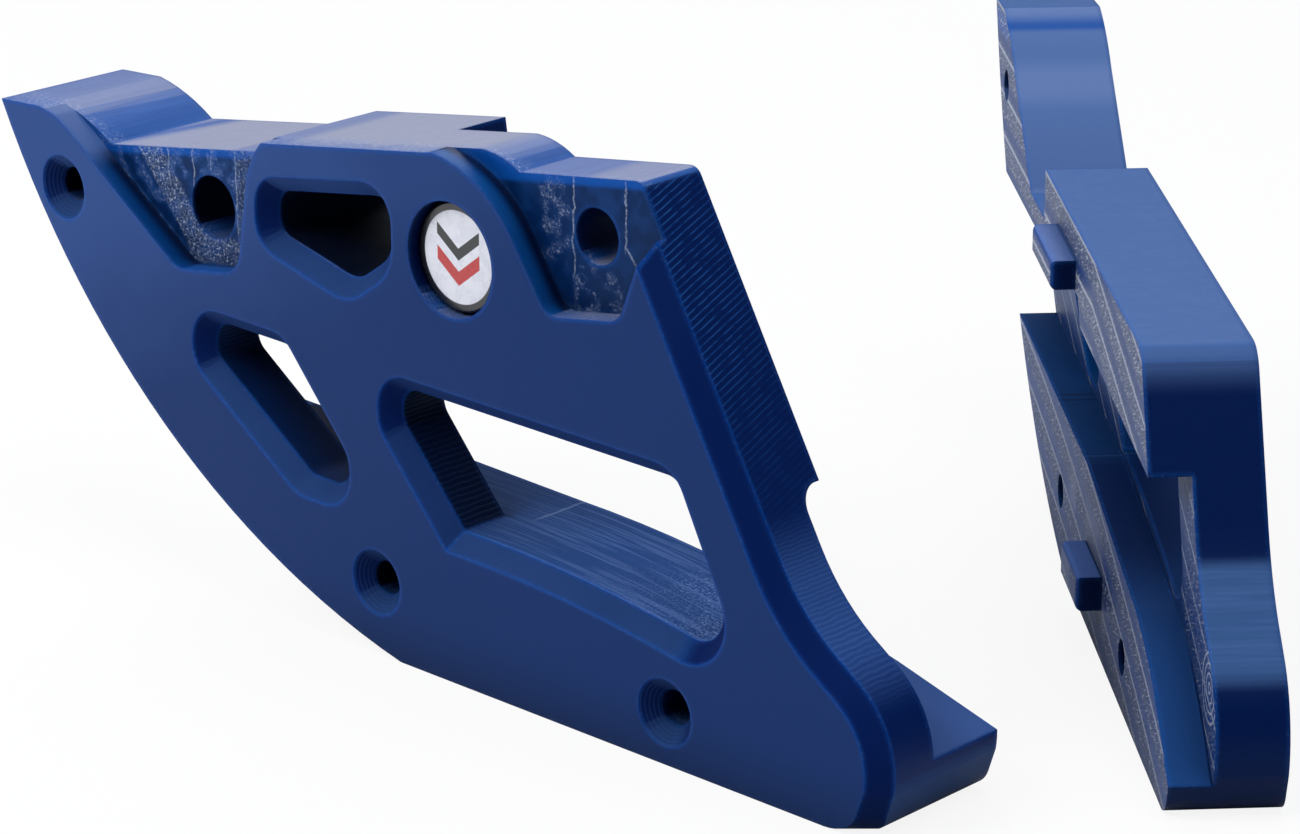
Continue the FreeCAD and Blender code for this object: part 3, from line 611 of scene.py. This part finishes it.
def inner_tops(n, f):
    """The broad top and the chain's channel."""
    track = n.mix(n.ramp(f.along, 120.0, 136.0), (0.0, 0.03, 0.13), (0.0, 0.012, 0.075))
    broad = n.mix(n.add(n.times(f.streak, 0.3), n.times(f.cloud, 0.7)),
                  (0.015, 0.076, 0.262), (0.024, 0.086, 0.285))
    return [
        (f.upwards, broad),
        (f.channel, n.mix(n.ramp(f.along, 160.0, 195.0), track, (0.009, 0.046, 0.175))),
    ]


def inner_rear(n, f):
    """The rear end, painted dark as shade, with painted light at its upper edge and on the sweep.
    """
    upper_edge = n.product(n.highest(f.rear, f.level), n.ramp(f.along, 181.0, 183.0),
                           n.ramp(f.up, 62.0, 70.0))
    ripples = n.times(lines(n, f.up, 0.7, 0.4, n.times(f.wobble, 0.5)), f.sweep)
    return [
        # Painted shade: the rear faces are painted dark
        (n.highest(f.rear, f.heel), (0.0, 0.006, 0.055)),
        # Painted light at the upper edge
        (upper_edge, (0.05, 0.1, 0.26)),
        # Painted light on the sweep, varied by the tool's streaks
        (f.sweep, n.mix(f.streak, (0.036, 0.086, 0.225), (0.046, 0.1, 0.255))),
        (n.times(ripples, 0.3), (0.03, 0.075, 0.22)),
    ]


def inner_horn(n, f):
    """The horn's slope painted as lit, a painted highlight band half-way, a deep band at its top.
    """
    slope = n.product(n.ramp(f.x, 0.0, 0.3), n.ramp(f.along, 60.0, 55.0), n.ramp(f.z, 0.3, 0.5))
    bright_band = n.times(slope, between(n, f.up, 73.0, 78.5, 1.8))
    deep_band = n.times(n.ramp(f.along, 20.0, 18.0), between(n, f.up, 81.0, 85.2, 0.9))
    return [
        # Painted light: the slope is painted pale, palest near its top
        (slope, n.mix(n.ramp(f.up, 76.0, 62.0), (0.075, 0.14, 0.34), (0.065, 0.12, 0.3))),
        # Painted highlight: a bright band half-way up the slope
        (n.times(bright_band, 0.6), (0.13, 0.2, 0.41)),
        (deep_band, (0.005, 0.065, 0.3)),
    ]


def inner_details(n, f):
    """The tabs' tops, painted step shadows and a ridge in the channel, edges, and the pale marks.
    """
    tab_top = n.product(f.upwards, n.ramp(f.depth, -0.2, -0.5))
    # Painted shadows of two steps across the channel
    step = n.highest(near(n, f.along, 94.5, 0.8), near(n, f.along, 97.5, 0.8))
    ridge = near(n, f.along, 128.6, 0.6)
    specks = n.product(f.level, n.ramp(f.grain, 0.67, 0.72), n.ramp(f.cloud, 0.5, 0.6))
    # Pale flecks along the open edges, where the grain is high
    edge_flecks = n.product(f.edge, n.ramp(f.grain, 0.52, 0.7))
    return [
        (tab_top, (0.06, 0.12, 0.35)),
        (n.product(step, f.channel, 0.7), (0.0, 0.006, 0.04)),
        (n.product(ridge, f.channel, 0.4), (0.03, 0.08, 0.2)),
        # Painted glow along the open edges
        (n.times(f.edge, 0.65), (0.0, 0.1, 0.5)),
        (n.times(f.frost, n.ramp(f.up, 28.0, 50.0, 0.55, 0.8)), (0.47, 0.5, 0.6)),
        (n.times(edge_flecks, 0.4), (0.25, 0.33, 0.5)),
        (n.times(specks, 0.5), (0.4, 0.48, 0.65)),
    ]


def inner_plastic():
    n = Nodes("inner_plastic")
    f = InnerFaces(n)
    lands = n.mix(n.ramp(f.up, 30.0, 50.0), (0.008, 0.03, 0.12), (0.04, 0.065, 0.16))
    layers = [
        (f.towards, (0.003, 0.035, 0.17)),
        (n.highest(f.land, n.times(f.plate, 0.6)), lands),
    ]
    for region in (inner_tops, inner_rear, inner_horn, inner_details):
        layers += region(n, f)
    colour = paint(n, (0.004, 0.03, 0.15), layers)
    colour = n.mix(n.ramp(f.open, 0.15, 0.8, 0.15, 1.0), DEEP_SHADE, colour)
    return plastic(n, f, colour, 0.4, n.times(f.channel, 0.3), f.frost)


def badge_face():
    """A black rim round a whitish field, with one dark and one red chevron."""
    n = Nodes("badge_face")
    where = n.place(n.coordinates(), spot=BADGE_CENTRE, size=ONE_MILLIMETRE, kind="TEXTURE")
    x, _, z = n.split(where)
    rim = n.ramp(n.length(x, z), 8.35, 8.5)
    fold = n.add(z, n.times(n.size(x), -0.75))
    inside = n.ramp(n.size(x), 5.3, 5.2)
    dark = n.times(between(n, fold, -0.6, 1.6, 0.06), inside)
    red = n.times(between(n, fold, -5.2, -2.6, 0.06), inside)
    dirt = n.noise(where, 0.5, detail=3.0)
    field = n.mix(n.ramp(dirt, 0.35, 0.7), (0.60, 0.61, 0.68), (0.66, 0.67, 0.73))
    colour = paint(n, field, [
        (dark, (0.004, 0.004, 0.006)),
        (red, (0.42, 0.012, 0.014)),
        (rim, (0.006, 0.006, 0.009)),
    ])
    rough = n.add(0.22, n.times(dirt, 0.12))
    return n.shader(colour, rough, Coat_Weight=0.4, Coat_Roughness=0.1)


def dress(node, material):
    for slot in nodes[node].material_slots:
        slot.material = material


dress("outer_half", outer_plastic())
dress("inner_half", inner_plastic())
dress("badge_disc", badge_face())


# The studio, in metres and watts
FLOOR_REACH = 6.0
FLOOR_DROP = 0.0002
FLOOR_GREY = (0.8, 0.8, 0.8, 1)
FLOOR_GLOW = 0.88
WHITE = (1, 1, 1, 1)
SKY = (0.75, 0.85, 1.0, 1)
SKY_STRENGTH = 0.22
LAMP_AIM = Vector((0, 0, 0.04))
# Each lamp's name, place, size and power
LAMPS = (("overhead", (-0.75, 0.8, 0.95), (1.1, 0.8), 7.5),
         ("key", (-0.5, -0.9, 0.9), (0.7, 0.7), 14.0),
         ("top", (0.35, -0.1, 1.1), (0.8, 0.8), 6.0))
CAMERA_SPOT = (0.48983, -0.57367, 0.29216)
CAMERA_RIGHT = (0.7229, 0.6909, -0.0046)
CAMERA_BACK = (0.65266, -0.68074, 0.33261)
CAMERA_LENS = 114.56
FILM_WIDTH = 36.0


def add_floor():
    """A pale floor that the camera sees nearly white, with the object's shadow on it."""
    mesh = bpy.data.meshes.new("floor")
    corners = [(-FLOOR_REACH, -FLOOR_REACH, 0), (FLOOR_REACH, -FLOOR_REACH, 0),
               (FLOOR_REACH, FLOOR_REACH, 0), (-FLOOR_REACH, FLOOR_REACH, 0)]
    mesh.from_pydata(corners, [], [(0, 1, 2, 3)])
    floor = bpy.data.objects.new("floor", mesh)
    scene.collection.objects.link(floor)
    floor.location.z = -FLOOR_DROP
    material = bpy.data.materials.new("floor")
    material.use_nodes = True
    tree = material.node_tree
    tree.nodes.clear()
    diffuse = tree.nodes.new("ShaderNodeBsdfDiffuse")
    diffuse.inputs["Color"].default_value = FLOOR_GREY
    glow = tree.nodes.new("ShaderNodeEmission")
    glow.inputs["Color"].default_value = WHITE
    rays = tree.nodes.new("ShaderNodeLightPath")
    seen = tree.nodes.new("ShaderNodeMath")
    seen.operation = "MULTIPLY"
    seen.inputs[1].default_value = FLOOR_GLOW
    blend = tree.nodes.new("ShaderNodeMixShader")
    output = tree.nodes.new("ShaderNodeOutputMaterial")
    tree.links.new(rays.outputs["Is Camera Ray"], seen.inputs[0])
    tree.links.new(seen.outputs[0], blend.inputs["Fac"])
    tree.links.new(diffuse.outputs[0], blend.inputs[1])
    tree.links.new(glow.outputs[0], blend.inputs[2])
    tree.links.new(blend.outputs[0], output.inputs["Surface"])
    mesh.materials.append(material)


def add_lamp(name, spot, size, power):
    data = bpy.data.lights.new(name, "AREA")
    data.shape = "RECTANGLE"
    data.size, data.size_y = size
    data.energy = power
    lamp = bpy.data.objects.new(name, data)
    scene.collection.objects.link(lamp)
    lamp.location = spot
    lamp.rotation_euler = (LAMP_AIM - Vector(spot)).to_track_quat("-Z", "Y").to_euler()


def add_world():
    """A weak blue sky that lights the object, white where the camera sees it."""
    world = bpy.data.worlds.new("studio")
    scene.world = world
    world.use_nodes = True
    tree = world.node_tree
    sky = tree.nodes["Background"]
    sky.inputs["Color"].default_value = SKY
    sky.inputs["Strength"].default_value = SKY_STRENGTH
    white = tree.nodes.new("ShaderNodeBackground")
    white.inputs["Color"].default_value = WHITE
    rays = tree.nodes.new("ShaderNodeLightPath")
    blend = tree.nodes.new("ShaderNodeMixShader")
    tree.links.new(rays.outputs["Is Camera Ray"], blend.inputs["Fac"])
    tree.links.new(sky.outputs[0], blend.inputs[1])
    tree.links.new(white.outputs[0], blend.inputs[2])
    tree.links.new(blend.outputs[0], tree.nodes["World Output"].inputs["Surface"])


def add_camera():
    data = bpy.data.cameras.new("camera")
    data.lens = CAMERA_LENS
    data.sensor_width = FILM_WIDTH
    data.clip_start = 0.01
    camera = bpy.data.objects.new("camera", data)
    scene.collection.objects.link(camera)
    right = Vector(CAMERA_RIGHT).normalized()
    back = Vector(CAMERA_BACK).normalized()
    up = back.cross(right).normalized()
    right = up.cross(back)
    axes = Matrix((right, up, back)).transposed().to_4x4()
    camera.matrix_world = Matrix.Translation(CAMERA_SPOT) @ axes
    scene.camera = camera


add_floor()
for lamp in LAMPS:
    add_lamp(*lamp)
add_world()
add_camera()
scene.view_settings.view_transform = "Standard"
